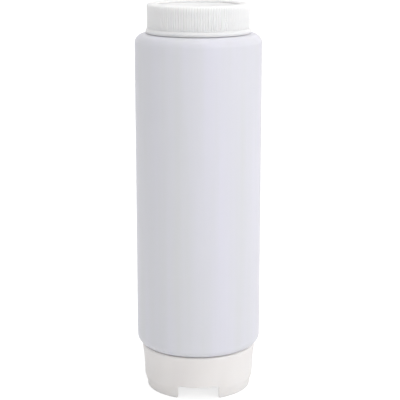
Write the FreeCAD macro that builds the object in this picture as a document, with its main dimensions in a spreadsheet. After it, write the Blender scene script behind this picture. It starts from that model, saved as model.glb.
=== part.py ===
import FreeCAD, Part

import math
import os
import re

import Sketcher

# A squeeze bottle that is open at both ends. It stands on its dispensing cap, which holds a
# self-closing slit valve, and is refilled through the ribbed lid on top.
#
# Frame: millimetres, +Z up along the bottle's axis, origin on the standing surface at the axis.
# The dispensing cap's front notch faces -Y.

# Driving dimensions: alias, value, meaning. Lengths are in mm and angles in degrees.
SIZES = [
    ("bottle_radius", 35.0, "outside of the squeeze cylinder"),
    ("bottle_wall", 1.2, "wall of the squeeze cylinder and shoulders"),
    ("corner_radius", 5.1, "outside rounding where cylinder meets shoulder"),
    ("shoulder_slope", 6.0, "slope of both shoulders towards their necks"),
    ("lower_corner_z", 25.5, "lowest point of the lower corner rounding"),
    ("upper_corner_z", 202.4, "highest point of the upper corner rounding"),
    ("neck_wall", 1.7, "wall of both necks"),
    ("top_neck_radius", 25.1, "top neck, at the thread's root"),
    ("top_rim_z", 216.1, "rim of the top neck"),
    ("base_neck_radius", 27.6, "lower neck, at the thread's root"),
    ("base_rim_z", 13.2, "rim of the lower neck"),
    ("thread_pitch", 4.233, "6 threads per inch, right-handed"),
    ("thread_depth", 1.2, "root to crest"),
    ("thread_root_width", 2.2, "ridge's width at its root"),
    ("thread_crest_width", 0.9, "ridge's width at its crest"),
    ("thread_gap", 0.35, "radial gap between a crest and the wall it faces"),
    ("thread_sink", 0.3, "how far a ridge is sunk into its wall"),
    ("neck_turns", 1.5, "turns of a neck's thread"),
    ("cap_turns", 1.25, "turns of a cap's thread"),
    ("top_thread_z", 206.6, "middle of the top neck's ridge where it starts"),
    ("base_thread_z", 15.6, "middle of the lower neck's ridge where it starts"),
    ("lid_radius", 27.95, "refill lid, between its ribs"),
    ("lid_lower_z", 202.95, "lower edge of the refill lid"),
    ("lid_top_z", 218.9, "raised rim on top of the refill lid"),
    ("lid_top_wall", 1.6, "thickness of the refill lid's top"),
    ("lid_edge_radius", 1.0, "rounding of the refill lid's outer edge"),
    ("lid_recess_radius", 22.8, "sunken disc in the lid's top"),
    ("lid_recess_depth", 1.3, "how far that disc is sunk"),
    ("lid_bead_radius", 28.9, "bead round the lid's lower edge"),
    ("lid_bead_height", 2.75, "height of that bead"),
    ("lid_bead_drop", 0.17, "how far the bead's lower corner is above the lid's lower edge"),
    ("rib_count", 120, "grip ribs round the refill lid"),
    ("rib_radius", 0.45, "round of one grip rib"),
    ("rib_rise", 0.35, "how far a grip rib stands out"),
    ("lid_gasket_inner", 23.2, "refill lid gasket, inner radius"),
    ("lid_gasket_outer", 25.9, "refill lid gasket, outer radius"),
    ("foot_radius", 29.45, "dispensing cap, where it stands"),
    ("foot_height", 2.0, "upright band at the foot"),
    ("skirt_radius", 30.95, "dispensing cap, above the foot's flare"),
    ("skirt_lower_z", 6.4, "top of the foot's flare"),
    ("waist_radius", 31.5, "dispensing cap, where its mouth starts to widen"),
    ("waist_z", 18.0, "height of that place"),
    ("mouth_radius", 32.25, "dispensing cap, at its mouth"),
    ("mouth_bead_z", 22.6, "height where the mouth is widest"),
    ("mouth_z", 25.2, "upper edge of the dispensing cap"),
    ("mouth_rounding", 1.7, "rounding of that edge"),
    ("mouth_blend", 6.0, "rounding below that edge"),
    ("waist_blend", 40.0, "rounding where the mouth starts to widen"),
    ("flare_blend", 2.5, "rounding at both ends of the foot's flare"),
    ("foot_wall", 2.0, "wall of the foot"),
    ("ledge_z", 11.8, "ledge that the base gasket lies on"),
    ("ledge_inner", 24.6, "inner radius of that ledge"),
    ("deck_wall", 1.8, "thickness of the ledge and the funnel"),
    ("notch_width", 22.5, "notch in the foot"),
    ("notch_height", 7.4, "height of a notch"),
    ("notch_count", 3, "notches round the foot"),
    ("notch_rounding", 1.7, "rounding of the feet beside a notch"),
    ("notch_start", 21.0, "distance from the axis where a notch begins"),
    ("pocket_radius", 13.0, "round pocket that holds the valve"),
    ("pocket_top_z", 9.3, "where the funnel drops into the pocket"),
    ("pocket_wall", 1.6, "wall of the pocket"),
    ("snap_lip", 0.25, "inward lip that keeps the retainer in"),
    ("seat_z", 6.0, "seat for the valve's flange"),
    ("seat_wall", 1.4, "thickness of the seat"),
    ("outlet_radius", 9.4, "hole in the seat"),
    ("flange_radius", 12.7, "valve's flange"),
    ("flange_wall", 1.4, "thickness of that flange"),
    ("valve_head_z", 4.8, "outer face of the valve's slit disc"),
    ("valve_head_wall", 0.8, "thickness of the slit disc"),
    ("valve_head_radius", 7.8, "slit disc, where the sleeve meets it"),
    ("slit_length", 9.0, "each of the two crossing slits"),
    ("slit_gap", 0.08, "width of a slit"),
    ("petal_wall", 0.5, "thickness of a flap, from its outer face"),
    ("petal_taper", 32.0, "lean of a flap's edges, so that rigid flaps clear each other as they open"),
    ("retainer_outer", 12.9, "valve retainer, outer radius"),
    ("retainer_inner", 9.3, "valve retainer, inner radius"),
    ("retainer_height", 1.8, "valve retainer, height"),
    ("pry_width", 3.0, "pry notch in the retainer's top edge"),
    ("pry_count", 2, "pry notches"),
    ("base_gasket_inner", 25.9, "base gasket, inner radius"),
    ("base_gasket_outer", 27.5, "base gasket, outer radius"),
    ("throat_rounding", 1.7, "inside rounding where a shoulder drops into its neck"),
    ("edge_rounding", 0.35, "small moulded edges"),
]
PETALS = 4
OVERCUT = 1.0  # how far a cutting sketch runs past the face that it cuts
TOLERANCE = 1e-6
MATCH = 1e-3  # how near an edge must be to the place where it is looked for


def make_sheet(doc):
    """The spreadsheet of driving dimensions: meaning, value and alias."""
    sheet = doc.addObject("Spreadsheet::Sheet", "Sizes")
    for row, (alias, value, meaning) in enumerate(SIZES, start=1):
        sheet.set(f"A{row}", meaning)
        sheet.set(f"B{row}", str(value))
        sheet.setAlias(f"B{row}", alias)
    doc.recompute()
    return sheet


def bound(text):
    """An expression written with bare aliases, as FreeCAD reads it."""
    names = {alias for alias, _, _ in SIZES}
    return re.sub(r"[a-z]\w*", lambda word: f"Sizes.{word[0]}" if word[0] in names else word[0], str(text))


def value(doc, text):
    return float(doc.Sizes.evalExpression(bound(text)))


def origin_feature(body, role):
    return next(item for item in body.Origin.OriginFeatures if item.Role == role)


def new_body(doc, name):
    body = doc.addObject("PartDesign::Body", name)
    body.Label = name
    return body


def new_sketch(body, name, plane, offset=None):
    """An empty sketch on one of the body's origin planes, or parallel to it at an offset."""
    sketch = body.newObject("Sketcher::SketchObject", name)
    sketch.AttachmentSupport = [(origin_feature(body, plane), "")]
    sketch.MapMode = "FlatFace"
    if offset is not None:
        sketch.setExpression("AttachmentOffset.Base.z", bound(offset))
    return sketch


def pins(geometry, point, place, expressions):
    """Constraints that hold one sketch point, each with the expression that drives it."""
    held = []
    for kind, coordinate, expression, axis in (
        ("DistanceX", place.x, expressions[0], -2),
        ("DistanceY", place.y, expressions[1], -1),
    ):
        if abs(coordinate) < TOLERANCE:
            held.append((Sketcher.Constraint("PointOnObject", geometry, point, axis), None))
        else:
            held.append((Sketcher.Constraint(kind, -1, 1, geometry, point, coordinate), expression))
    return held


def constrain(sketch, held):
    """Add all the constraints at once, then bind them to their expressions."""
    first = len(sketch.Constraints)
    sketch.addConstraint([constraint for constraint, _ in held])
    for index, (_, expression) in enumerate(held, start=first):
        if expression is not None:
            sketch.setExpression(f"Constraints[{index}]", bound(expression))


def arc_middle(start, end, radius):
    """The point half-way along an arc. A positive radius turns left on the way to its end."""
    chord = end - start
    left = FreeCAD.Vector(-chord.y, chord.x, 0).normalize()
    to_centre = math.sqrt(radius * radius - chord.Length * chord.Length / 4)
    side = math.copysign(1, radius)
    return (start + end) * 0.5 + left * side * (to_centre - abs(radius))


def edge_ends(sketch, edge, start):
    """Which of an edge's two points the outline reaches first, and which last."""
    if (sketch.Geometry[edge].StartPoint - start).Length < TOLERANCE:
        return 1, 2
    return 2, 1


def draw_outline(doc, sketch, corners):
    """A closed outline, fully constrained. A corner is (x, y), or (x, y, radius) where an arc
    of that radius leads to the next corner. A negative radius turns right."""
    points = [FreeCAD.Vector(value(doc, corner[0]), value(doc, corner[1]), 0) for corner in corners]
    edges, ends, held = [], [], []
    for i, corner in enumerate(corners):
        start, end = points[i], points[(i + 1) % len(points)]
        curve = Part.LineSegment(start, end)
        if len(corner) > 2:
            curve = Part.Arc(start, arc_middle(start, end, value(doc, corner[2])), end)
        edges.append(sketch.addGeometry(curve, False))
        ends.append(edge_ends(sketch, edges[i], start))
        if len(corner) > 2:
            radius = abs(value(doc, corner[2]))
            held.append((Sketcher.Constraint("Radius", edges[i], radius), f"abs({corner[2]})"))
    for i, edge in enumerate(edges):
        held.append((Sketcher.Constraint("Coincident", edges[i - 1], ends[i - 1][1], edge, ends[i][0]), None))
        held += pins(edge, ends[i][0], points[i], corners[i])
    constrain(sketch, held)


def draw_circle(doc, sketch, x, y, radius):
    """A circle, fully constrained."""
    place = FreeCAD.Vector(value(doc, x), value(doc, y), 0)
    size = value(doc, radius)
    circle = sketch.addGeometry(Part.Circle(place, FreeCAD.Vector(0, 0, 1), size), False)
    held = pins(circle, 3, place, (x, y))
    held.append((Sketcher.Constraint("Radius", circle, size), radius))
    constrain(sketch, held)


def ring_edges(doc, shape, circles):
    """Names of the circular edges round the Z axis at the given (radius, height) places."""
    names = []
    for radius, height in circles:
        size, level = value(doc, radius), value(doc, height)
        found = [
            f"Edge{number}"
            for number, edge in enumerate(shape.Edges, start=1)
            if isinstance(edge.Curve, Part.Circle)
            and abs(edge.Curve.Radius - size) < MATCH
            and abs(edge.Curve.Center.z - level) < MATCH
        ]
        if not found:
            raise RuntimeError(f"no edge at radius {radius}, height {height}")
        names += found
    return names


def round_rings(doc, body, name, rounding, circles):
    """Round the edges that run round the Z axis at the given (radius, height) places."""
    base = body.Tip
    fillet = body.newObject("PartDesign::Fillet", name)
    fillet.Base = (base, ring_edges(doc, base.Shape, circles))
    fillet.setExpression("Radius", bound(rounding))
    doc.recompute()


def revolve(doc, body, name, corners):
    """Turn an outline of (radius, height) corners once round the Z axis."""
    sketch = new_sketch(body, f"{name}_outline", "XZ_Plane")
    draw_outline(doc, sketch, corners)
    turned = body.newObject("PartDesign::Revolution", name)
    turned.Profile = sketch
    turned.ReferenceAxis = (origin_feature(body, "Z_Axis"), [""])
    doc.recompute()
    return turned


def repeat_round_axis(doc, body, name, feature, count):
    """Repeat a feature evenly round the Z axis."""
    pattern = body.newObject("PartDesign::PolarPattern", name)
    pattern.Originals = [feature]
    pattern.Axis = (origin_feature(body, "Z_Axis"), [""])
    pattern.Angle = 360
    pattern.setExpression("Occurrences", bound(count))
    body.Tip = pattern
    doc.recompute()


def add_thread(doc, body, name, wall, inwards, middle_z, turns):
    """A helical ridge on a round wall, outside a neck or inside a cap."""
    sign = "-" if inwards else "+"
    back = "+" if inwards else "-"
    sketch = new_sketch(body, f"{name}_section", "XZ_Plane")
    draw_outline(doc, sketch, [
        (f"{wall} {back} thread_sink", f"{middle_z} - thread_root_width / 2"),
        (wall, f"{middle_z} - thread_root_width / 2"),
        (f"{wall} {sign} thread_depth", f"{middle_z} - thread_crest_width / 2"),
        (f"{wall} {sign} thread_depth", f"{middle_z} + thread_crest_width / 2"),
        (wall, f"{middle_z} + thread_root_width / 2"),
        (f"{wall} {back} thread_sink", f"{middle_z} + thread_root_width / 2"),
    ])
    helix = body.newObject("PartDesign::AdditiveHelix", name)
    helix.Profile = sketch
    helix.ReferenceAxis = (origin_feature(body, "Z_Axis"), [""])
    helix.Mode = "pitch-turns-angle"
    helix.setExpression("Pitch", bound("thread_pitch"))
    helix.setExpression("Turns", bound(turns))
    body.Tip = helix
    doc.recompute()


def make_bottle(doc):
    """The blow-moulded body: a cylinder with a threaded neck at each end."""
    body = new_body(doc, "bottle")
    fall = "tan(shoulder_slope * 1deg)"
    # Both shoulders are cones. These are the heights where they would meet the cylinder unrounded.
    tip = "corner_radius * tan(45deg - shoulder_slope * 0.5deg)"
    upper_z = f"upper_corner_z - corner_radius + {tip}"
    lower_z = f"lower_corner_z + corner_radius - {tip}"
    inner = "(bottle_radius - bottle_wall)"
    top_inner = "(top_neck_radius - neck_wall)"
    base_inner = "(base_neck_radius - neck_wall)"
    top_throat_z = f"{upper_z} - bottle_wall + ({inner} - {top_inner}) * {fall}"
    base_throat_z = f"{lower_z} + bottle_wall - ({inner} - {base_inner}) * {fall}"
    revolve(doc, body, "blown_wall", [
        (base_inner, "base_rim_z"),
        ("base_neck_radius", "base_rim_z"),
        ("base_neck_radius", f"{lower_z} - (bottle_radius - base_neck_radius) * {fall}"),
        ("bottle_radius", lower_z),
        ("bottle_radius", upper_z),
        ("top_neck_radius", f"{upper_z} + (bottle_radius - top_neck_radius) * {fall}"),
        ("top_neck_radius", "top_rim_z"),
        (top_inner, "top_rim_z"),
        (top_inner, top_throat_z),
        (inner, f"{upper_z} - bottle_wall"),
        (inner, f"{lower_z} + bottle_wall"),
        (base_inner, base_throat_z),
    ])
    round_rings(doc, body, "outer_corners", "corner_radius", [
        ("bottle_radius", lower_z),
        ("bottle_radius", upper_z),
    ])
    round_rings(doc, body, "inner_corners", "corner_radius - bottle_wall", [
        (inner, f"{lower_z} + bottle_wall"),
        (inner, f"{upper_z} - bottle_wall"),
    ])
    round_rings(doc, body, "throats", "throat_rounding", [(top_inner, top_throat_z), (base_inner, base_throat_z)])
    round_rings(doc, body, "rims", "edge_rounding", [
        (base_inner, "base_rim_z"),
        ("base_neck_radius", "base_rim_z"),
        ("top_neck_radius", "top_rim_z"),
        (top_inner, "top_rim_z"),
    ])
    add_thread(doc, body, "top_thread", "top_neck_radius", False, "top_thread_z", "neck_turns")
    add_thread(doc, body, "base_thread", "base_neck_radius", False, "base_thread_z", "neck_turns")
    return body


def make_refill_lid(doc):
    """The ribbed screw lid: a sunken disc inside a raised rim, and a bead at its lower edge."""
    body = new_body(doc, "refill_lid")
    bore = "top_neck_radius + thread_depth + thread_gap"
    disc_z = "lid_top_z - lid_recess_depth"
    channel_z = "lid_top_z - lid_top_wall"
    bead_top_z = "lid_lower_z + lid_bead_height"
    revolve(doc, body, "moulded_lid", [
        ("0", f"{disc_z} - lid_top_wall"),
        ("lid_recess_radius", f"{disc_z} - lid_top_wall"),
        ("lid_recess_radius", channel_z),
        (bore, channel_z),
        (bore, "lid_lower_z"),
        ("lid_radius", "lid_lower_z"),
        ("lid_bead_radius", "lid_lower_z + lid_bead_drop"),
        ("lid_bead_radius", "lid_lower_z + lid_bead_height * 0.65"),
        ("lid_radius", bead_top_z),
        ("lid_radius", "lid_top_z"),
        ("lid_recess_radius", "lid_top_z"),
        ("lid_recess_radius", disc_z),
        ("0", disc_z),
    ])
    round_rings(doc, body, "outer_edge", "lid_edge_radius", [("lid_radius", "lid_top_z")])
    round_rings(doc, body, "small_edges", "edge_rounding", [
        ("lid_recess_radius", "lid_top_z"),
        ("lid_recess_radius", disc_z),
        ("lid_recess_radius", f"{disc_z} - lid_top_wall"),
        (bore, channel_z),
        ("lid_bead_radius", "lid_lower_z + lid_bead_drop"),
        ("lid_bead_radius", "lid_lower_z + lid_bead_height * 0.65"),
    ])
    add_lid_ribs(doc, body, bead_top_z)
    add_thread(doc, body, "lid_thread", bore, True, "top_thread_z + thread_pitch / 2", "cap_turns")
    return body


def add_lid_ribs(doc, body, bead_top_z):
    """Round upright grip ribs, from the bead up into the rounded outer edge."""
    lower_z = f"{bead_top_z} - rib_rise"
    sketch = new_sketch(body, "rib_section", "XY_Plane", lower_z)
    draw_circle(doc, sketch, "lid_radius + rib_rise - rib_radius", "0", "rib_radius")
    rib = body.newObject("PartDesign::Pad", "grip_rib")
    rib.Profile = sketch
    rib.setExpression("Length", bound(f"lid_top_z - lid_edge_radius - ({lower_z})"))
    doc.recompute()
    repeat_round_axis(doc, body, "grip_ribs", rib, "rib_count")


def make_ring(doc, name, inner, outer, lower_z, upper_z):
    """A plain ring with slightly rounded edges."""
    body = new_body(doc, name)
    corners = [(inner, lower_z), (outer, lower_z), (outer, upper_z), (inner, upper_z)]
    revolve(doc, body, f"{name}_ring", corners)
    round_rings(doc, body, f"{name}_edges", "edge_rounding / 2", corners)
    return body


def make_refill_lid_gasket(doc):
    """The soft ring in the lid's channel, which seals on the top neck's rim."""
    return make_ring(doc, "refill_lid_gasket", "lid_gasket_inner", "lid_gasket_outer",
                     "top_rim_z", "lid_top_z - lid_top_wall")


def make_base_gasket(doc):
    """The soft ring between the dispensing cap's ledge and the lower neck's rim."""
    return make_ring(doc, "base_gasket", "base_gasket_inner", "base_gasket_outer",
                     "ledge_z", "base_rim_z")


def make_dispensing_cap(doc):
    """The lower screw cap: a notched foot, a funnel, and the pocket that holds the valve."""
    body = new_body(doc, "dispensing_cap")
    bore = "base_neck_radius + thread_depth + thread_gap"
    foot_inner = "foot_radius - foot_wall"
    skirt_inner = "skirt_radius - foot_wall"
    pocket_outer = "pocket_radius + pocket_wall"
    deck_z = "ledge_z - deck_wall"
    outlet_z = "seat_z - seat_wall"
    revolve(doc, body, "moulded_cap", [
        (foot_inner, "0"),
        ("foot_radius", "0"),
        ("foot_radius", "foot_height"),
        ("skirt_radius", "skirt_lower_z"),
        ("waist_radius", "waist_z"),
        ("mouth_radius", "mouth_bead_z"),
        ("mouth_radius", "mouth_z"),
        (bore, "mouth_z"),
        (bore, "ledge_z"),
        ("ledge_inner", "ledge_z"),
        ("pocket_radius", "pocket_top_z"),
        ("pocket_radius - snap_lip", "pocket_top_z - snap_lip"),
        ("pocket_radius", "pocket_top_z - snap_lip * 2"),
        ("pocket_radius", "seat_z"),
        ("outlet_radius", "seat_z"),
        ("outlet_radius", outlet_z),
        (pocket_outer, outlet_z),
        (pocket_outer, "pocket_top_z - deck_wall"),
        ("ledge_inner", deck_z),
        (skirt_inner, deck_z),
        (skirt_inner, "skirt_lower_z"),
        (foot_inner, "foot_height"),
    ])
    round_rings(doc, body, "waist_blend", "waist_blend", [("waist_radius", "waist_z")])
    round_rings(doc, body, "mouth_blend", "mouth_blend", [("mouth_radius", "mouth_bead_z")])
    round_rings(doc, body, "mouth_edge", "mouth_rounding", [("mouth_radius", "mouth_z")])
    round_rings(doc, body, "flare_blend", "flare_blend", [
        ("foot_radius", "foot_height"),
        ("skirt_radius", "skirt_lower_z"),
    ])
    round_rings(doc, body, "cap_edges", "edge_rounding", [
        (foot_inner, "0"),
        ("foot_radius", "0"),
        (bore, "mouth_z"),
        (bore, "ledge_z"),
        ("outlet_radius", "seat_z"),
        ("outlet_radius", outlet_z),
        (pocket_outer, outlet_z),
        (skirt_inner, deck_z),
    ])
    add_thread(doc, body, "cap_thread", bore, True, "base_thread_z - thread_pitch / 2", "cap_turns")
    cut_foot_notches(doc, body)
    return body


def cut_foot_notches(doc, body):
    """Wide notches through the foot's wall. The feet beside them have rounded lower corners."""
    sketch = new_sketch(body, "notch_outline", "XZ_Plane", "notch_start")
    half, foot_flat = "notch_width / 2", "(notch_width / 2 + notch_rounding)"
    draw_outline(doc, sketch, [
        (f"-{foot_flat} - {OVERCUT}", f"-{OVERCUT}"),
        (f"{foot_flat} + {OVERCUT}", f"-{OVERCUT}"),
        (f"{foot_flat} + {OVERCUT}", "0"),
        (foot_flat, "0", "-notch_rounding"),
        (half, "notch_rounding"),
        (half, "notch_height"),
        (f"-{half}", "notch_height"),
        (f"-{half}", "notch_rounding", "-notch_rounding"),
        (f"-{foot_flat}", "0"),
        (f"-{foot_flat} - {OVERCUT}", "0"),
    ])
    notch = body.newObject("PartDesign::Pocket", "foot_notch")
    notch.Profile = sketch
    notch.Reversed = True
    notch.setExpression("Length", bound(f"mouth_radius - notch_start + {OVERCUT}"))
    doc.recompute()
    repeat_round_axis(doc, body, "foot_notches", notch, "notch_count")


def make_valve_skirt(doc):
    """The silicone valve without its flaps: flange, sloping sleeve and slit disc."""
    body = new_body(doc, "valve_skirt")
    head_top_z = "valve_head_z + valve_head_wall"
    flange_z = "seat_z + flange_wall"
    revolve(doc, body, "moulded_valve", [
        ("0", "valve_head_z"),
        ("valve_head_radius", "valve_head_z"),
        ("outlet_radius - valve_head_wall * 0.4", "seat_z"),
        ("flange_radius", "seat_z"),
        ("flange_radius", flange_z),
        ("outlet_radius", flange_z),
        ("valve_head_radius - valve_head_wall", head_top_z),
        ("0", head_top_z),
    ])
    round_rings(doc, body, "head_edge", "valve_head_wall * 0.7", [("valve_head_radius", "valve_head_z")])
    round_rings(doc, body, "flange_edges", "edge_rounding", [
        ("flange_radius", "seat_z"),
        ("flange_radius", flange_z),
        ("outlet_radius", flange_z),
    ])
    cut_slit_opening(doc, body)
    return body


def cut_slit_opening(doc, body):
    """The square opening that the four flaps close, its corners at the slits' ends."""
    half = "slit_length / 2 * cos(45deg)"
    sketch = new_sketch(body, "slit_square", "XY_Plane", f"valve_head_z - {OVERCUT}")
    draw_outline(doc, sketch, [
        (f"-{half}", f"-{half}"),
        (half, f"-{half}"),
        (half, half),
        (f"-{half}", half),
    ])
    opening = body.newObject("PartDesign::Pocket", "slit_opening")
    opening.Profile = sketch
    opening.Reversed = True
    opening.setExpression("Length", bound(f"valve_head_wall + 2 * {OVERCUT}"))
    doc.recompute()


def make_valve_petal(doc, index):
    """One flap of the slit disc. It bends down about its long edge when sauce is squeezed out."""
    body = new_body(doc, f"valve_petal_{index + 1}")
    edge = "slit_length / 2 * cos(45deg) - slit_gap"
    sketch = new_sketch(body, f"petal_{index + 1}_outline", "XY_Plane", "valve_head_z")
    draw_outline(doc, sketch, [
        ("slit_gap", "0"),
        (edge, f"-({edge} - slit_gap)"),
        (edge, f"{edge} - slit_gap"),
    ])
    pad = body.newObject("PartDesign::Pad", f"petal_{index + 1}_flap")
    pad.Profile = sketch
    pad.setExpression("Length", bound("petal_wall"))
    pad.setExpression("TaperAngle", bound("-petal_taper"))
    turn = FreeCAD.Rotation(FreeCAD.Vector(0, 0, 1), 360 / PETALS * index)
    body.Placement = FreeCAD.Placement(FreeCAD.Vector(0, 0, 0), turn)
    doc.recompute()
    return body


def make_valve_retainer(doc):
    """The snap ring over the valve's flange, with a funnel top and pry notches."""
    body = new_body(doc, "valve_retainer")
    lower_z = "(seat_z + flange_wall)"
    upper_z = "(seat_z + flange_wall + retainer_height)"
    revolve(doc, body, "moulded_retainer", [
        ("retainer_inner", lower_z),
        ("retainer_outer", lower_z),
        ("retainer_outer", f"{upper_z} - snap_lip * 3"),
        ("retainer_outer - snap_lip * 2", upper_z),
        ("retainer_inner + retainer_height", upper_z),
        ("retainer_inner", f"{upper_z} - retainer_height * 0.7"),
    ])
    cut_pry_notches(doc, body, upper_z)
    return body


def cut_pry_notches(doc, body, upper_z):
    """Small notches in the retainer's top edge, where it is levered out."""
    half, floor_z = "pry_width / 2", f"{upper_z} - retainer_height / 2"
    sketch = new_sketch(body, "pry_outline", "XZ_Plane", "retainer_inner + retainer_height")
    draw_outline(doc, sketch, [
        (f"-{half}", floor_z),
        (half, floor_z),
        (half, f"{upper_z} + {OVERCUT}"),
        (f"-{half}", f"{upper_z} + {OVERCUT}"),
    ])
    notch = body.newObject("PartDesign::Pocket", "pry_notch")
    notch.Profile = sketch
    notch.Reversed = True
    notch.setExpression("Length", bound("retainer_outer"))
    doc.recompute()
    repeat_round_axis(doc, body, "pry_notches", notch, "pry_count")


def check_document(doc, sub_parts):
    """Stop if any object failed, or any sub-part isn't a sound solid."""
    for item in doc.Objects:
        if {"Invalid", "Error"} & set(item.State):
            raise RuntimeError(f"{item.Label} failed: {item.State}")
        if item.isDerivedFrom("Sketcher::SketchObject") and not item.FullyConstrained:
            raise RuntimeError(f"{item.Label} isn't fully constrained")
    for body in sub_parts:
        if body.Shape.isNull() or not body.Shape.isValid() or len(body.Shape.Solids) != 1:
            raise RuntimeError(f"{body.Label} isn't one valid solid")


def main():
    doc = FreeCAD.newDocument("squeeze_bottle")
    make_sheet(doc)
    sub_parts = [
        make_bottle(doc),
        make_refill_lid(doc),
        make_refill_lid_gasket(doc),
        make_dispensing_cap(doc),
        make_base_gasket(doc),
        make_valve_skirt(doc),
        make_valve_retainer(doc),
    ]
    sub_parts += [make_valve_petal(doc, index) for index in range(PETALS)]
    check_document(doc, sub_parts)
    os.makedirs("parts", exist_ok=True)
    for body in sub_parts:
        body.Shape.exportStep(f"parts/{body.Label}.step")
        print(f"{body.Label}: {body.Shape.Volume:.1f} mm3")


main()
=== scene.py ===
# %% [markdown]
# # A squeeze bottle that is open at both ends
# The bottle stands on its dispensing cap and is refilled through the ribbed lid on top. The plastic is
# milky: it lets light in, but nothing can be seen through it.
#
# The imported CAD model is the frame. Every piece made here sits in that frame, in metres, and rides on
# one of its bodies, so it moves as the real piece does.

# %% Load the frame
import math

import bpy
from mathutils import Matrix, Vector


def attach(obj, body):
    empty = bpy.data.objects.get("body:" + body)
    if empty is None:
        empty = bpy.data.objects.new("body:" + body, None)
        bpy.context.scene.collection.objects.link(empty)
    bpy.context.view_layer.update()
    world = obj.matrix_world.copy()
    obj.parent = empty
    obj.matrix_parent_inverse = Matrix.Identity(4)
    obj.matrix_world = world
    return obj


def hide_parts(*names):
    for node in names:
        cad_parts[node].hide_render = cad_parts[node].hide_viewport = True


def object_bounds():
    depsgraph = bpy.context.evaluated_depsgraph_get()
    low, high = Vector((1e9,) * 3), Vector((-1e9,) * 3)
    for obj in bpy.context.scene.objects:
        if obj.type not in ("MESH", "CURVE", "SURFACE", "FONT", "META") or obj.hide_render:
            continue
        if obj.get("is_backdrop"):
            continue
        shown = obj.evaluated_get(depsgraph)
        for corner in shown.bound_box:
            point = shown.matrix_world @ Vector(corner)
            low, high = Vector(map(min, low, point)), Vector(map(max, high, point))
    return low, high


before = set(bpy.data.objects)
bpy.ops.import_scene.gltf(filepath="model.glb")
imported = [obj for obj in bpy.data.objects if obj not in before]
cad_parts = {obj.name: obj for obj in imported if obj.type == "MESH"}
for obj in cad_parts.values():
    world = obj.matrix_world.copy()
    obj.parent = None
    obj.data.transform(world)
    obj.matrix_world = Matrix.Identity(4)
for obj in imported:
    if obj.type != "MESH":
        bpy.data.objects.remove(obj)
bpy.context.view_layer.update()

MM = 0.001

# %% [markdown]
# ## Camera
# A long lens, seven tenths of a metre away and looking a little down, keeps the bottle's sides almost
# parallel. The camera comes first, because every later choice is judged through it.

# %% Camera
CAMERA_PLACE = Vector((0.9, -700.0, 270.0)) * MM
LOOK_DOWN = math.radians(13.0)
LENS = 114.3
SENSOR = 36.0

camera_data = bpy.data.cameras.new("camera")
camera_data.lens = LENS
camera_data.sensor_width = SENSOR
camera = bpy.data.objects.new("camera", camera_data)
camera.location = CAMERA_PLACE
camera.rotation_euler = (math.pi / 2 - LOOK_DOWN, 0.0, 0.0)
bpy.context.scene.collection.objects.link(camera)
bpy.context.scene.camera = camera
print("camera at", tuple(round(part, 3) for part in camera.location))

# %% [markdown]
# ## Helpers
# An operator acts on everything that is selected, and the loaded nodes come in selected. So each step
# starts by deselecting all, and points are then picked by where they are.

# %% Selecting
NEAR = 1e-6


def deselect():
    """Back to object mode, with nothing selected."""
    if bpy.context.object and bpy.context.object.mode != "OBJECT":
        bpy.ops.object.mode_set(mode="OBJECT")
    bpy.ops.object.select_all(action="DESELECT")


def activate(piece):
    """Only this piece is selected, and operators act on it."""
    deselect()
    piece.select_set(True)
    bpy.context.view_layer.objects.active = piece


def pick(piece, test, kind="VERT"):
    """Selects the points that pass the test, or the edges whose two ends do. Ends in edit mode."""
    bpy.ops.object.mode_set(mode="EDIT")
    bpy.ops.mesh.select_mode(type=kind)
    bpy.ops.mesh.select_all(action="DESELECT")
    bpy.ops.object.mode_set(mode="OBJECT")
    mesh = piece.data
    passed = [test(point.co) for point in mesh.vertices]
    if kind == "VERT":
        chosen = [point for point in mesh.vertices if passed[point.index]]
    else:
        chosen = [edge for edge in mesh.edges if all(passed[end] for end in edge.vertices)]
    for element in chosen:
        element.select = True
    bpy.ops.object.mode_set(mode="EDIT")
    return len(chosen)


def reach(place):
    """Distance from the bottle's axis."""
    return math.hypot(place.x, place.y)


print("points within", NEAR / MM, "mm of each other count as one place")

# %% [markdown]
# Every hollow piece of this bottle is round. On a lathe such a piece is one outline, drawn as half a
# section of its wall, and turned about the axis. The outline's corners are listed as radius, height and
# rounding in millimetres, where rounding is how far from its tip a corner starts to curve. Blender's
# vertex bevel gives the curve.

# %% Outlines
SOFT_CORNER = 3.0
SOFT_SEGMENTS = 8
CRISP_SEGMENTS = 4


def outline(name, corners, closed=True, depth=0.0):
    """An outline in the XZ plane at y = -depth, drawn by extruding one point from corner to corner."""
    deselect()
    first = corners[0]
    start = (first[0] * MM, -depth * MM, first[1] * MM)
    bpy.ops.mesh.primitive_plane_add(size=MM, location=start)
    piece = bpy.context.object
    piece.name = piece.data.name = name
    bpy.ops.object.transform_apply(location=True, rotation=False, scale=False)
    bpy.ops.object.mode_set(mode="EDIT")
    bpy.ops.mesh.select_all(action="SELECT")
    bpy.ops.mesh.merge(type="CENTER")
    way_round = corners[1:] + corners[:1] if closed else corners[1:]
    last = first
    for corner in way_round:
        step = ((corner[0] - last[0]) * MM, 0.0, (corner[1] - last[1]) * MM)
        bpy.ops.mesh.extrude_region_move(TRANSFORM_OT_translate={"value": step})
        last = corner
    bpy.ops.mesh.select_all(action="SELECT")
    bpy.ops.mesh.remove_doubles(threshold=NEAR)
    for radius, height, rounding in corners:
        if rounding:
            round_corner(piece, radius * MM, height * MM, rounding)
    return piece


def round_corner(piece, x, z, rounding):
    """Rounds the outline's corner at x and z. A wide curve gets more segments than a small one."""
    pick(piece, lambda place: abs(place.x - x) < NEAR and abs(place.z - z) < NEAR)
    segments = SOFT_SEGMENTS if rounding > SOFT_CORNER else CRISP_SEGMENTS
    bpy.ops.mesh.bevel(offset=rounding * MM, segments=segments, affect="VERTICES")


print("corners get", CRISP_SEGMENTS, "segments, or", SOFT_SEGMENTS, "over", SOFT_CORNER, "mm")

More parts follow.
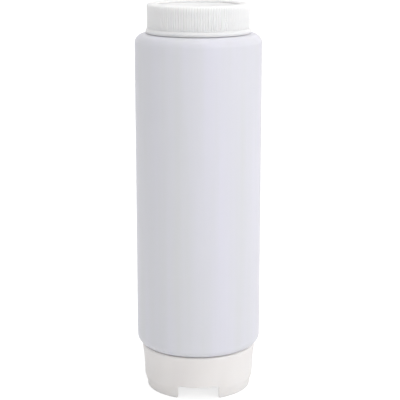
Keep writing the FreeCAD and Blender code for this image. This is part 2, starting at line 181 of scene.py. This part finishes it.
# %% Lathe
LATHE_STEPS = 192


def close_up(piece):
    """Merges points that share a place, then turns the faces outwards."""
    bpy.ops.object.mode_set(mode="EDIT")
    bpy.ops.mesh.select_all(action="SELECT")
    bpy.ops.mesh.remove_doubles(threshold=NEAR)
    bpy.ops.mesh.normals_make_consistent(inside=False)
    bpy.ops.object.mode_set(mode="OBJECT")


def turn_on_lathe(piece, steps=LATHE_STEPS, angle=math.tau):
    """Spins the outline about the bottle's axis, closes the seam and points every face outwards."""
    bpy.ops.mesh.select_all(action="SELECT")
    bpy.ops.mesh.spin(steps=steps, angle=angle, center=(0, 0, 0), axis=(0, 0, 1))
    close_up(piece)


print("a full turn has", LATHE_STEPS, "steps of", 360.0 / LATHE_STEPS, "degrees")

# %% Finish a piece
CRISP_ANGLE = math.radians(38.0)


def edge_uses(piece):
    """How many faces meet at each edge. Two everywhere means a closed skin."""
    uses = {}
    for face in piece.data.polygons:
        for key in face.edge_keys:
            uses[key] = uses.get(key, 0) + 1
    return uses


def finish_piece(piece, body, material):
    """Smooth shading with crisp corners, one material, and the piece's own body."""
    activate(piece)
    bpy.ops.object.shade_smooth_by_angle(angle=CRISP_ANGLE)
    piece.data.materials.clear()
    piece.data.materials.append(material)
    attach(piece, body)
    open_edges = sum(1 for uses in edge_uses(piece).values() if uses != 2)
    print(f"{piece.name}: {len(piece.data.polygons)} faces, {open_edges} edges not shared by two")


print("edges sharper than", round(math.degrees(CRISP_ANGLE)), "degrees stay crisp")

# %% [markdown]
# The screw threads are ridges with a flat crest. The Screw modifier sweeps the ridge's section round
# and up in one go. A moulded thread doesn't start with a step but fades in, so the rings of points near
# both ends are shrunk towards the wall. A union then makes ridge and wall one skin.

# %% Thread sizes
PITCH = 4.233
THREAD_DEPTH = 1.2
THREAD_GAP = 0.35
ROOT_WIDTH = 2.2
CREST_WIDTH = 0.9
CREST_ROUND = 0.25
SINK = 0.3
THREAD_STEPS = 96
LEAD_IN = 7
NECK_TURNS = 1.5
CAP_TURNS = 1.25
print("the neck's thread climbs", round(NECK_TURNS * PITCH, 2), "mm in", NECK_TURNS, "turns")


# %% Threads
def on_helix(radius, start_z, ring, turns_per_ring):
    """The place in metres that the thread's helix reaches at this ring of points."""
    turned = ring * turns_per_ring * math.tau
    height = start_z + PITCH * ring * turns_per_ring
    return Vector((radius * math.cos(turned), radius * math.sin(turned), height)) * MM


def shrink_ring(ridge, first, section, middle, share):
    """Shrinks one ring of the ridge's points towards its middle, to this share of its size."""
    bpy.ops.object.mode_set(mode="EDIT")
    bpy.ops.mesh.select_mode(type="VERT")
    bpy.ops.mesh.select_all(action="DESELECT")
    bpy.ops.object.mode_set(mode="OBJECT")
    for point in range(first, first + section):
        ridge.data.vertices[point].select = True
    bpy.ops.object.mode_set(mode="EDIT")
    bpy.ops.transform.resize(value=(share, share, share), center_override=middle)
    bpy.ops.object.mode_set(mode="OBJECT")


def thread_ridge(wall_radius, start_z, turns, inward):
    """One closed ridge on a wall of this radius, standing inwards or outwards."""
    side = -1 if inward else 1
    root = wall_radius - side * SINK
    crest = wall_radius + side * THREAD_DEPTH
    ridge = outline("ridge", [
        (root, start_z - ROOT_WIDTH / 2, 0),
        (wall_radius, start_z - ROOT_WIDTH / 2, 0),
        (crest, start_z - CREST_WIDTH / 2, CREST_ROUND),
        (crest, start_z + CREST_WIDTH / 2, CREST_ROUND),
        (wall_radius, start_z + ROOT_WIDTH / 2, 0),
        (root, start_z + ROOT_WIDTH / 2, 0),
    ])
    bpy.ops.object.mode_set(mode="OBJECT")
    section = len(ridge.data.vertices)
    screw = ridge.modifiers.new("screw", "SCREW")
    screw.axis = "Z"
    screw.angle = math.tau * turns
    screw.screw_offset = PITCH * turns * MM
    screw.steps = screw.render_steps = round(THREAD_STEPS * turns)
    bpy.ops.object.modifier_apply(modifier="screw")
    rings = len(ridge.data.vertices) // section
    for place in range(LEAD_IN):
        share = (place + 1) / (LEAD_IN + 1)
        for ring in (place, rings - 1 - place):
            middle = on_helix(root, start_z, ring, turns / (rings - 1))
            shrink_ring(ridge, ring * section, section, middle, share)
    bpy.ops.object.mode_set(mode="EDIT")
    bpy.ops.mesh.select_all(action="SELECT")
    bpy.ops.mesh.region_to_loop()
    bpy.ops.mesh.edge_face_add()
    close_up(ridge)
    return ridge


def join_or_cut(piece, tool, operation):
    """Applies a union with the tool, or cuts the tool away, and removes the tool."""
    activate(piece)
    boolean = piece.modifiers.new("boolean", "BOOLEAN")
    boolean.operation = operation
    boolean.solver = "EXACT"
    boolean.object = tool
    bpy.ops.object.modifier_apply(modifier=boolean.name)
    bpy.data.objects.remove(tool)
    close_up(piece)


print("a thread fades in over", round(360.0 * LEAD_IN / THREAD_STEPS, 1), "degrees")

# %% [markdown]
# ## Plastics
# The bottle is frosted polyethylene. Its colour is a cool white, and light spreads a few millimetres
# inside it, which subsurface scattering gives. Blow moulding leaves upright die lines, slow clouds and a
# fine orange peel, so noise drives the colour, the roughness and the bump. The lid and the cap are
# injection moulded in a warmer, denser plastic, whose skin is finer.

# %% Material helpers
NOISE_LOW = 0.3
NOISE_HIGH = 0.7


def new_material(name):
    """A material with only a Principled shader, and the helpers to add nodes to it."""
    material = bpy.data.materials.new(name)
    material.use_nodes = True
    nodes, links = material.node_tree.nodes, material.node_tree.links
    return material, nodes, links, nodes["Principled BSDF"]


def add_noise(nodes, links, stretch, scale, detail=3.0):
    """Noise on the piece's own coordinates, in metres, stretched along each axis."""
    place = nodes.new("ShaderNodeTexCoord")
    mapping = nodes.new("ShaderNodeMapping")
    mapping.inputs["Scale"].default_value = stretch
    noise = nodes.new("ShaderNodeTexNoise")
    noise.inputs["Scale"].default_value = scale
    noise.inputs["Detail"].default_value = detail
    noise.inputs["Roughness"].default_value = 0.5
    links.new(place.outputs["Object"], mapping.inputs["Vector"])
    links.new(mapping.outputs["Vector"], noise.inputs["Vector"])
    return noise.outputs["Fac"]


def add_ramp(nodes, links, factor, low, high):
    """A colour ramp between two colours, over the part of its range where noise mostly stays."""
    ramp = nodes.new("ShaderNodeValToRGB")
    ramp.color_ramp.elements[0].position = NOISE_LOW
    ramp.color_ramp.elements[1].position = NOISE_HIGH
    ramp.color_ramp.elements[0].color = (*low, 1.0)
    ramp.color_ramp.elements[1].color = (*high, 1.0)
    links.new(factor, ramp.inputs["Fac"])
    return ramp.outputs["Color"]


def add_range(nodes, links, factor, low, high):
    """Noise spread over low to high."""
    spread = nodes.new("ShaderNodeMapRange")
    spread.inputs["From Min"].default_value = NOISE_LOW
    spread.inputs["From Max"].default_value = NOISE_HIGH
    spread.inputs["To Min"].default_value = low
    spread.inputs["To Max"].default_value = high
    links.new(factor, spread.inputs["Value"])
    return spread.outputs["Result"]


def add_bump(nodes, links, height, distance, strength, below=None):
    """A bump of this height in metres, on top of another bump if one is given."""
    bump = nodes.new("ShaderNodeBump")
    bump.inputs["Distance"].default_value = distance
    bump.inputs["Strength"].default_value = strength
    links.new(height, bump.inputs["Height"])
    if below is not None:
        links.new(below, bump.inputs["Normal"])
    return bump.outputs["Normal"]


print("noise is taken to run from", NOISE_LOW, "to", NOISE_HIGH)

# %% [markdown]
# Each pattern is a stretch along X, Y and Z and a number of grains to the metre. The bottle's clouds are
# drawn out upwards into bands, as blowing draws the plastic out. The same die lines, skin and marks of
# handling serve all the plastics, each at its own strength.

# %% Moulded plastics
BANDS = ((1.0, 1.0, 0.04), 75.0)
CLOUDS = ((1.0, 1.0, 0.6), 60.0)
HANDLING = ((1.0, 1.0, 0.5), 45.0)
DIE_LINES = ((1.0, 1.0, 0.02), 420.0)
SKIN = ((1.0, 1.0, 1.0), 1500.0)
LINE_HEIGHT = 0.00004
SKIN_HEIGHT = 0.00003
WARM_SPREAD = (1.0, 0.95, 0.9)
PLASTIC_SHINE = 0.4
PLASTIC_IOR = 1.5


def milky_plastic(name, low, high, clouds, depth, die_lines, peel, gloss):
    """A moulded plastic: cloudy colour, light spread inside, die lines, and a fine skin.
    depth is how much of the light goes in, and how far it spreads, in metres."""
    material, nodes, links, shader = new_material(name)
    cloud = add_noise(nodes, links, *clouds)
    links.new(add_ramp(nodes, links, cloud, low, high), shader.inputs["Base Color"])
    handling = add_noise(nodes, links, *HANDLING, detail=1.0)
    links.new(add_range(nodes, links, handling, *gloss), shader.inputs["Roughness"])
    lines = add_noise(nodes, links, *DIE_LINES, detail=2.0)
    skin = add_noise(nodes, links, *SKIN, detail=2.0)
    drawn = add_bump(nodes, links, lines, LINE_HEIGHT, die_lines)
    links.new(add_bump(nodes, links, skin, SKIN_HEIGHT, peel, below=drawn), shader.inputs["Normal"])
    shader.inputs["Subsurface Weight"].default_value = depth[0]
    shader.inputs["Subsurface Radius"].default_value = WARM_SPREAD
    shader.inputs["Subsurface Scale"].default_value = depth[1]
    shader.inputs["Specular IOR Level"].default_value = PLASTIC_SHINE
    shader.inputs["IOR"].default_value = PLASTIC_IOR
    return material


BOTTLE_PLASTIC = milky_plastic(
    "frosted_polyethylene", low=(0.640, 0.646, 0.664), high=(0.676, 0.668, 0.745),
    clouds=BANDS, depth=(0.6, 0.003), die_lines=0.6, peel=0.25, gloss=(0.30, 0.38))
LID_PLASTIC = milky_plastic(
    "milky_lid_plastic", low=(0.87, 0.845, 0.835), high=(0.90, 0.88, 0.87),
    clouds=CLOUDS, depth=(0.85, 0.006), die_lines=0.1, peel=0.2, gloss=(0.45, 0.55))
CAP_PLASTIC = milky_plastic(
    "milky_cap_plastic", low=(0.735, 0.710, 0.700), high=(0.775, 0.752, 0.742),
    clouds=CLOUDS, depth=(0.7, 0.003), die_lines=0.1, peel=0.2, gloss=(0.29, 0.37))
RETAINER_PLASTIC = milky_plastic(
    "retainer_plastic", low=(0.76, 0.75, 0.72), high=(0.81, 0.80, 0.77),
    clouds=CLOUDS, depth=(0.5, 0.0012), die_lines=0.1, peel=0.3, gloss=(0.38, 0.5))
VALVE_SILICONE = milky_plastic(
    "valve_silicone", low=(0.70, 0.70, 0.70), high=(0.76, 0.76, 0.755),
    clouds=CLOUDS, depth=(0.8, 0.002), die_lines=0.05, peel=0.12, gloss=(0.29, 0.36))
GASKET_RUBBER = milky_plastic(
    "gasket_rubber", low=(0.72, 0.71, 0.69), high=(0.78, 0.77, 0.75),
    clouds=CLOUDS, depth=(0.3, 0.0008), die_lines=0.05, peel=0.5, gloss=(0.5, 0.65))
print("materials:", [material.name for material in bpy.data.materials])

# %% [markdown]
# ## Bottle
# The bottle is blown: one even wall, a soft corner where the cylinder meets each shoulder, and a threaded
# neck at both ends. The lathe gives the wall inside and out. The shoulders rise or fall a little towards
# the necks, so the cylinder's corner turns by less than a right angle, and its curve starts less than
# its radius away from the tip.

# %% Bottle sizes
RADIUS = 35.0
WALL = 1.2
CORNER = 5.1
SHOULDER_RISE = 6.0
SLOPE = math.tan(math.radians(SHOULDER_RISE))
CORNER_TIP = CORNER * math.tan(math.radians(45.0 - SHOULDER_RISE / 2))
CORNERS_TOP = 202.4
CORNERS_FOOT = 25.5
UPPER = CORNERS_TOP - CORNER + CORNER_TIP
LOWER = CORNERS_FOOT + CORNER - CORNER_TIP
TOP_NECK = 25.1
BASE_NECK = 27.6
NECK_WALL = 1.7
TOP_RIM = 216.1
BASE_RIM = 13.2
THROAT = 1.7
EDGE = 0.35
TOP_THREAD = 206.6
BASE_THREAD = 15.6
INSIDE = RADIUS - WALL
TOP_BORE = TOP_NECK - NECK_WALL
BASE_BORE = BASE_NECK - NECK_WALL
print("shoulders meet the cylinder at", round(LOWER, 2), "and", round(UPPER, 2))

# %% Turn the bottle
bottle = outline("bottle_body", [
    (BASE_BORE, BASE_RIM, EDGE),
    (BASE_NECK, BASE_RIM, EDGE),
    (BASE_NECK, LOWER - (RADIUS - BASE_NECK) * SLOPE, 0),
    (RADIUS, LOWER, CORNER_TIP),
    (RADIUS, UPPER, CORNER_TIP),
    (TOP_NECK, UPPER + (RADIUS - TOP_NECK) * SLOPE, 0),
    (TOP_NECK, TOP_RIM, EDGE),
    (TOP_BORE, TOP_RIM, EDGE),
    (TOP_BORE, UPPER - WALL + (INSIDE - TOP_BORE) * SLOPE, THROAT),
    (INSIDE, UPPER - WALL, CORNER_TIP - WALL),
    (INSIDE, LOWER + WALL, CORNER_TIP - WALL),
    (BASE_BORE, LOWER + WALL - (INSIDE - BASE_BORE) * SLOPE, THROAT),
])
turn_on_lathe(bottle)
for neck, thread_z in ((TOP_NECK, TOP_THREAD), (BASE_NECK, BASE_THREAD)):
    join_or_cut(bottle, thread_ridge(neck, thread_z, NECK_TURNS, inward=False), "UNION")
print("bottle with both threads:", len(bottle.data.polygons), "faces")

# %% [markdown]
# The two halves of the blow mould leave a fine upright line on the left and on the right. Here the column
# of edges at each place is split in three by a bevel, and the middle one is lifted by a resize.

# %% Mould parting line
PARTING_WIDTH = 0.5
PARTING_RISE = 0.07
PARTING_SKIN = 0.8


def on_parting(place):
    """On the outer face of the cylinder or its soft corners, in the plane between the mould's halves."""
    shown = LOWER * MM < place.z < UPPER * MM
    return shown and abs(place.y) < NEAR and abs(place.x) > (RADIUS - PARTING_SKIN) * MM


activate(bottle)
print("parting edges:", pick(bottle, on_parting, kind="EDGE"))
bpy.ops.mesh.bevel(offset=PARTING_WIDTH / 2 * MM, segments=2, affect="EDGES")
pick(bottle, on_parting)
grow = 1 + PARTING_RISE / RADIUS
bpy.ops.transform.resize(value=(grow, 1, 1), center_override=(0, 0, 0))
bpy.ops.object.mode_set(mode="OBJECT")
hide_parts("bottle")
finish_piece(bottle, "bottle", BOTTLE_PLASTIC)

# %% [markdown]
# ## Refill lid
# The lid is a short cup with a sunken disc on top and 120 fine ribs round its side. In the disc's middle
# is the shallow mark of the gate, where the plastic flowed into the mould. The bead at the lid's foot
# dips a little at its outer edge, to follow the bottle's shoulder.
#
# One rib is modelled on a slice of three degrees: the slice has eight columns, and the columns near its
# middle are pushed out to a round. The slice is then copied round the axis, and the copies are merged.
# So the work is done once, and every rib comes out the same.

# %% Lid sizes
LID = 27.95
LID_LOW = 202.95
LID_TOP = 218.9
LID_WALL = 1.6
RECESS = 22.8
RECESS_DEPTH = 1.3
BEAD = 28.9
BEAD_HEIGHT = 2.75
BEAD_DIP = 0.13
BEAD_LIP = 0.15
BEAD_CROWN = 0.65
LID_EDGE = 1.0
FINE_EDGE = 0.2
GATE = 1.5
GATE_DEPTH = 0.3
GATE_EDGE = 0.1
LID_BORE = TOP_NECK + THREAD_DEPTH + THREAD_GAP
DISC = LID_TOP - RECESS_DEPTH
BEAD_TOP = LID_LOW + BEAD_HEIGHT
RIBS = 120
RIB_COLUMNS = 8
RIB_SLICE = math.tau / RIBS
print("one rib in every", round(RIB_SLICE * LID, 2), "mm")

# %% One slice of the lid
WELL_OUT = 20.0

lid = outline("refill_lid_shell", [
    (0.0, DISC - LID_WALL, 0),
    (RECESS, DISC - LID_WALL, EDGE),
    (RECESS, LID_TOP - LID_WALL, 0),
    (LID_BORE, LID_TOP - LID_WALL, EDGE),
    (LID_BORE, LID_LOW, FINE_EDGE),
    (LID, LID_LOW, FINE_EDGE),
    (BEAD, LID_LOW - BEAD_DIP, BEAD_LIP),
    (BEAD, LID_LOW + BEAD_HEIGHT * BEAD_CROWN, EDGE),
    (LID, BEAD_TOP, FINE_EDGE),
    (LID, LID_TOP, LID_EDGE),
    (RECESS, LID_TOP, EDGE),
    (RECESS, DISC, EDGE),
    (GATE, DISC, GATE_EDGE),
    (GATE, DISC - GATE_DEPTH, GATE_EDGE),
    (0.0, DISC - GATE_DEPTH, 0),
], closed=False)
bpy.ops.mesh.select_all(action="SELECT")
bpy.ops.transform.rotate(value=RIB_SLICE / 2, orient_axis="Z", center_override=(0, 0, 0))
turn_on_lathe(lid, RIB_COLUMNS, angle=RIB_SLICE)
# Near the axis a point's angle means little, so only the outer points are measured.
outer = [point.co for point in lid.data.vertices if reach(point.co) > WELL_OUT * MM]
angles = [math.atan2(place.y, place.x) for place in outer]
slice_ends = [round(math.degrees(angle), 2) for angle in (min(angles), max(angles))]
print("slice from", slice_ends[0], "to", slice_ends[1], "degrees")

# %% Push the rib out
RIB_PUSH = (0.30, 0.265, 0.14)
CLEAR = 0.05
FADE_START = 0.45
FADE_END = 0.2
RIB_LEVELS = (
    BEAD_TOP + CLEAR,
    LID_TOP - LID_EDGE + CLEAR,
    LID_TOP - LID_EDGE * FADE_START,
    LID_TOP - LID_EDGE * FADE_END,
)
RIB_SHARES = (1.0, 0.7, 0.25)
LID_SKIN = 0.9
SAME_ANGLE = 1e-4
middle_angle = (min(angles) + max(angles)) / 2


def on_rib(place, low, high, columns_away):
    """On the lid's outer face between two heights, this many columns from the slice's middle."""
    from_middle = abs(math.atan2(place.y, place.x) - middle_angle)
    on_column = abs(from_middle - columns_away * RIB_SLICE / RIB_COLUMNS) < SAME_ANGLE
    return low * MM < place.z < high * MM and reach(place) > (LID - LID_SKIN) * MM and on_column


for away, push in enumerate(RIB_PUSH):
    for low, high, share in zip(RIB_LEVELS, RIB_LEVELS[1:], RIB_SHARES):
        pick(lid, lambda place: on_rib(place, low, high, away))
        out = push * share * MM
        outward = (out * math.cos(middle_angle), out * math.sin(middle_angle), 0)
        bpy.ops.transform.translate(value=outward)
print("the rib stands", RIB_PUSH[0], "mm out and fades over the lid's top edge")

# %% Copy the slice round the axis
bpy.ops.mesh.select_all(action="SELECT")
bpy.ops.mesh.spin(steps=RIBS, angle=math.tau, dupli=True, center=(0, 0, 0), axis=(0, 0, 1))
close_up(lid)
lid_thread = thread_ridge(LID_BORE, TOP_THREAD + PITCH / 2, CAP_TURNS, inward=True)
join_or_cut(lid, lid_thread, "UNION")
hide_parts("refill_lid")
finish_piece(lid, "refill_lid", LID_PLASTIC)

# %% [markdown]
# ## Dispensing cap
# The cap is the bottle's foot. It has a funnel inside, which leads to the pocket that holds the valve,
# and three wide notches in its foot, so the bottle can stand on a wet counter without sticking. The
# outline runs from the foot up the outside, over the mouth, and back down the inside.

# %% Cap sizes
FOOT = 29.45
FOOT_HEIGHT = 2.0
SKIRT = 30.95
SKIRT_LOW = 6.4
WAIST = 31.5
WAIST_Z = 18.0
MOUTH = 32.25
MOUTH_BEAD = 22.6
MOUTH_TOP = 25.3
CAP_WALL = 2.0
LEDGE = 11.8
LEDGE_IN = 24.6
DECK = 1.8
POCKET = 13.0
POCKET_TOP = 9.3
POCKET_WALL = 1.6
SNAP = 0.25
SEAT = 6.0
SEAT_WALL = 1.4
OUTLET = 9.4
CAP_BORE = BASE_NECK + THREAD_DEPTH + THREAD_GAP
print("the bottle's thread leaves", THREAD_GAP, "mm to the cap's bore of", round(CAP_BORE * 2, 2), "mm")

# %% Turn the cap
cap = outline("dispensing_cap_shell", [
    (FOOT - CAP_WALL, 0.0, EDGE),
    (FOOT, 0.0, EDGE),
    (FOOT, FOOT_HEIGHT, 0.9),
    (SKIRT, SKIRT_LOW, 0.9),
    (WAIST, WAIST_Z, 3.5),
    (MOUTH, MOUTH_BEAD, 0.6),
    (MOUTH, MOUTH_TOP, 1.0),
    (CAP_BORE, MOUTH_TOP, EDGE),
    (CAP_BORE, LEDGE, EDGE),
    (LEDGE_IN, LEDGE, 0.2),
    (POCKET, POCKET_TOP, 0.1),
    (POCKET - SNAP, POCKET_TOP - SNAP, 0),
    (POCKET, POCKET_TOP - SNAP * 2, 0),
    (POCKET, SEAT, 0),
    (OUTLET, SEAT, EDGE),
    (OUTLET, SEAT - SEAT_WALL, EDGE),
    (POCKET + POCKET_WALL, SEAT - SEAT_WALL, EDGE),
    (POCKET + POCKET_WALL, POCKET_TOP - DECK, 0.3),
    (LEDGE_IN, LEDGE - DECK, 0.3),
    (SKIRT - CAP_WALL, LEDGE - DECK, EDGE),
    (SKIRT - CAP_WALL, SKIRT_LOW, 0.6),
    (FOOT - CAP_WALL, FOOT_HEIGHT, 0.6),
])
turn_on_lathe(cap)
cap_thread = thread_ridge(CAP_BORE, BASE_THREAD - PITCH / 2, CAP_TURNS, inward=True)
join_or_cut(cap, cap_thread, "UNION")
print("cap with its thread:", len(cap.data.polygons), "faces")

# %% [markdown]
# The notches are cut with one tool, made anew for each of them. Its outline is the notch with a thin flat
# on each side at the bottom, and the curves between notch and flats round the feet beside the notch.

# %% Cut the notches
NOTCHES = 3
NOTCH_WIDTH = 22.5
NOTCH_HEIGHT = 7.4
NOTCH_ROUND = 1.7
NOTCH_TOP_ROUND = 0.5
NOTCH_IN = 21.0
FLAT = 1.0
SPARE = 2.0
BELOW = 0.02


def notch_tool(turned):
    """The tool for one notch, turned about the axis from the front."""
    side = NOTCH_WIDTH / 2
    flat = side + NOTCH_ROUND + FLAT
    tool = outline("notch_tool", [
        (-flat, -SPARE, 0),
        (flat, -SPARE, 0),
        (flat, -BELOW, 0),
        (side, -BELOW, NOTCH_ROUND),
        (side, NOTCH_HEIGHT, NOTCH_TOP_ROUND),
        (-side, NOTCH_HEIGHT, NOTCH_TOP_ROUND),
        (-side, -BELOW, NOTCH_ROUND),
        (-flat, -BELOW, 0),
    ], depth=NOTCH_IN)
    bpy.ops.mesh.select_all(action="SELECT")
    bpy.ops.mesh.edge_face_add()
    outward = (0, -(MOUTH + SPARE - NOTCH_IN) * MM, 0)
    bpy.ops.mesh.extrude_region_move(TRANSFORM_OT_translate={"value": outward})
    bpy.ops.mesh.select_all(action="SELECT")
    bpy.ops.transform.rotate(value=turned, orient_axis="Z", center_override=(0, 0, 0))
    close_up(tool)
    return tool


for count in range(NOTCHES):
    join_or_cut(cap, notch_tool(count * math.tau / NOTCHES), "DIFFERENCE")
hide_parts("dispensing_cap")
finish_piece(cap, "dispensing_cap", CAP_PLASTIC)

# %% [markdown]
# ## Small pieces
# The two gaskets, the valve and the ring that holds it are right as they come from the frame. They only
# get their finish: rubber, silicone and plastic.

# %% Finishes of the small pieces
SMALL_PIECES = {
    "refill_lid_gasket": GASKET_RUBBER,
    "base_gasket": GASKET_RUBBER,
    "valve_skirt": VALVE_SILICONE,
    "valve_petal_1": VALVE_SILICONE,
    "valve_petal_2": VALVE_SILICONE,
    "valve_petal_3": VALVE_SILICONE,
    "valve_petal_4": VALVE_SILICONE,
    "valve_retainer": RETAINER_PLASTIC,
}
for node, material in SMALL_PIECES.items():
    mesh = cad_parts[node].data
    mesh.materials.clear()
    mesh.materials.append(material)
print("finished:", ", ".join(SMALL_PIECES))

# %% [markdown]
# ## Studio
# A white bottle on white needs light from all round, with a little more from the front right, so the
# form still turns from grey on the left to bright on the right. The floor is matt white card. What the
# camera sees of it also glows, which keeps it white in the bottle's own shade, and the glow lights
# nothing else. The floor lies a hair below the foot, so the two never share a plane.

# %% Floor
FLOOR_SIZE = 12.0
FLOOR_DROP = 0.05
FLOOR_GRAIN = ((1.0, 1.0, 1.0), 6.0)
FLOOR_ROUGHNESS = 0.9
CARD = (0.84, 0.86)
SEEN_CARD = (0.39, 0.41)
SEEN_GLOW = 0.76


def card_surface(nodes, links, shader, tones, glow):
    """Matt card with a faint grain between two greys, and a glow of its own."""
    low, high = ((tone, tone, tone) for tone in tones)
    grain = add_noise(nodes, links, *FLOOR_GRAIN)
    links.new(add_ramp(nodes, links, grain, low, high), shader.inputs["Base Color"])
    shader.inputs["Roughness"].default_value = FLOOR_ROUGHNESS
    shader.inputs["Specular IOR Level"].default_value = 0.0
    shader.inputs["Emission Color"].default_value = (1.0, 1.0, 1.0, 1.0)
    shader.inputs["Emission Strength"].default_value = glow
    return shader.outputs["BSDF"]


deselect()
bpy.ops.mesh.primitive_plane_add(size=FLOOR_SIZE, location=(0, 0, -FLOOR_DROP * MM))
floor = bpy.context.object
floor.name = "floor"
floor_material, nodes, links, plain_card = new_material("floor")
seen_card = nodes.new("ShaderNodeBsdfPrincipled")
light_path = nodes.new("ShaderNodeLightPath")
mix = nodes.new("ShaderNodeMixShader")
links.new(light_path.outputs["Is Camera Ray"], mix.inputs["Fac"])
links.new(card_surface(nodes, links, plain_card, CARD, 0.0), mix.inputs[1])
links.new(card_surface(nodes, links, seen_card, SEEN_CARD, SEEN_GLOW), mix.inputs[2])
links.new(mix.outputs["Shader"], nodes["Material Output"].inputs["Surface"])
floor.data.materials.append(floor_material)
floor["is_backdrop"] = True
print("floor:", FLOOR_SIZE, "m square,", FLOOR_DROP, "mm below the foot")

# %% [markdown]
# The room round the bottle is brighter on the right than on the left. Where the camera looks past the
# floor it sees at least full white, so the background has no edge.

# %% World
DIM_SIDE = 0.70
BRIGHT_SIDE = 1.10

world = bpy.data.worlds.new("studio")
bpy.context.scene.world = world
world.use_nodes = True
nodes, links = world.node_tree.nodes, world.node_tree.links
direction = nodes.new("ShaderNodeTexCoord")
across = nodes.new("ShaderNodeSeparateXYZ")
fall = nodes.new("ShaderNodeMapRange")
fall.inputs["From Min"].default_value = -1.0
fall.inputs["From Max"].default_value = 1.0
fall.inputs["To Min"].default_value = DIM_SIDE
fall.inputs["To Max"].default_value = BRIGHT_SIDE
links.new(direction.outputs["Generated"], across.inputs["Vector"])
links.new(across.outputs["X"], fall.inputs["Value"])
light_path = nodes.new("ShaderNodeLightPath")
brighter = nodes.new("ShaderNodeMath")
brighter.operation = "MAXIMUM"
links.new(fall.outputs["Result"], brighter.inputs[0])
links.new(light_path.outputs["Is Camera Ray"], brighter.inputs[1])
links.new(brighter.outputs["Value"], nodes["Background"].inputs["Strength"])
nodes["Background"].inputs["Color"].default_value = (1.0, 1.0, 1.0, 1.0)
print("room:", DIM_SIDE, "on the left,", BRIGHT_SIDE, "on the right")

# %% Lights
BOTTLE_MIDDLE = Vector((0.0, 0.0, 0.11))


def soft_light(name, place, size, power):
    """A square soft light aimed at the middle of the bottle."""
    data = bpy.data.lights.new(name, "AREA")
    data.shape = "SQUARE"
    data.size = size
    data.energy = power
    lamp = bpy.data.objects.new(name, data)
    lamp.location = place
    aim = BOTTLE_MIDDLE - Vector(place)
    lamp.rotation_euler = aim.to_track_quat("-Z", "Y").to_euler()
    bpy.context.scene.collection.objects.link(lamp)
    print(name, "at", place, "with", power, "W")


soft_light("overhead", place=(0.0, 0.0, 2.2), size=2.5, power=10.0)
soft_light("key", place=(1.4, -1.5, 1.1), size=0.6, power=11.0)
bpy.context.scene.view_settings.view_transform = "Standard"

# %% [markdown]
# ## Sizes
# The made pieces have to stay inside the frame's box. Only the parting line stands past it, by its own
# small height. The size of the made pieces' box is printed.

# %% Finish
low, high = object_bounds()
print("made:", [round((high[axis] - low[axis]) / MM, 2) for axis in range(3)], "mm")
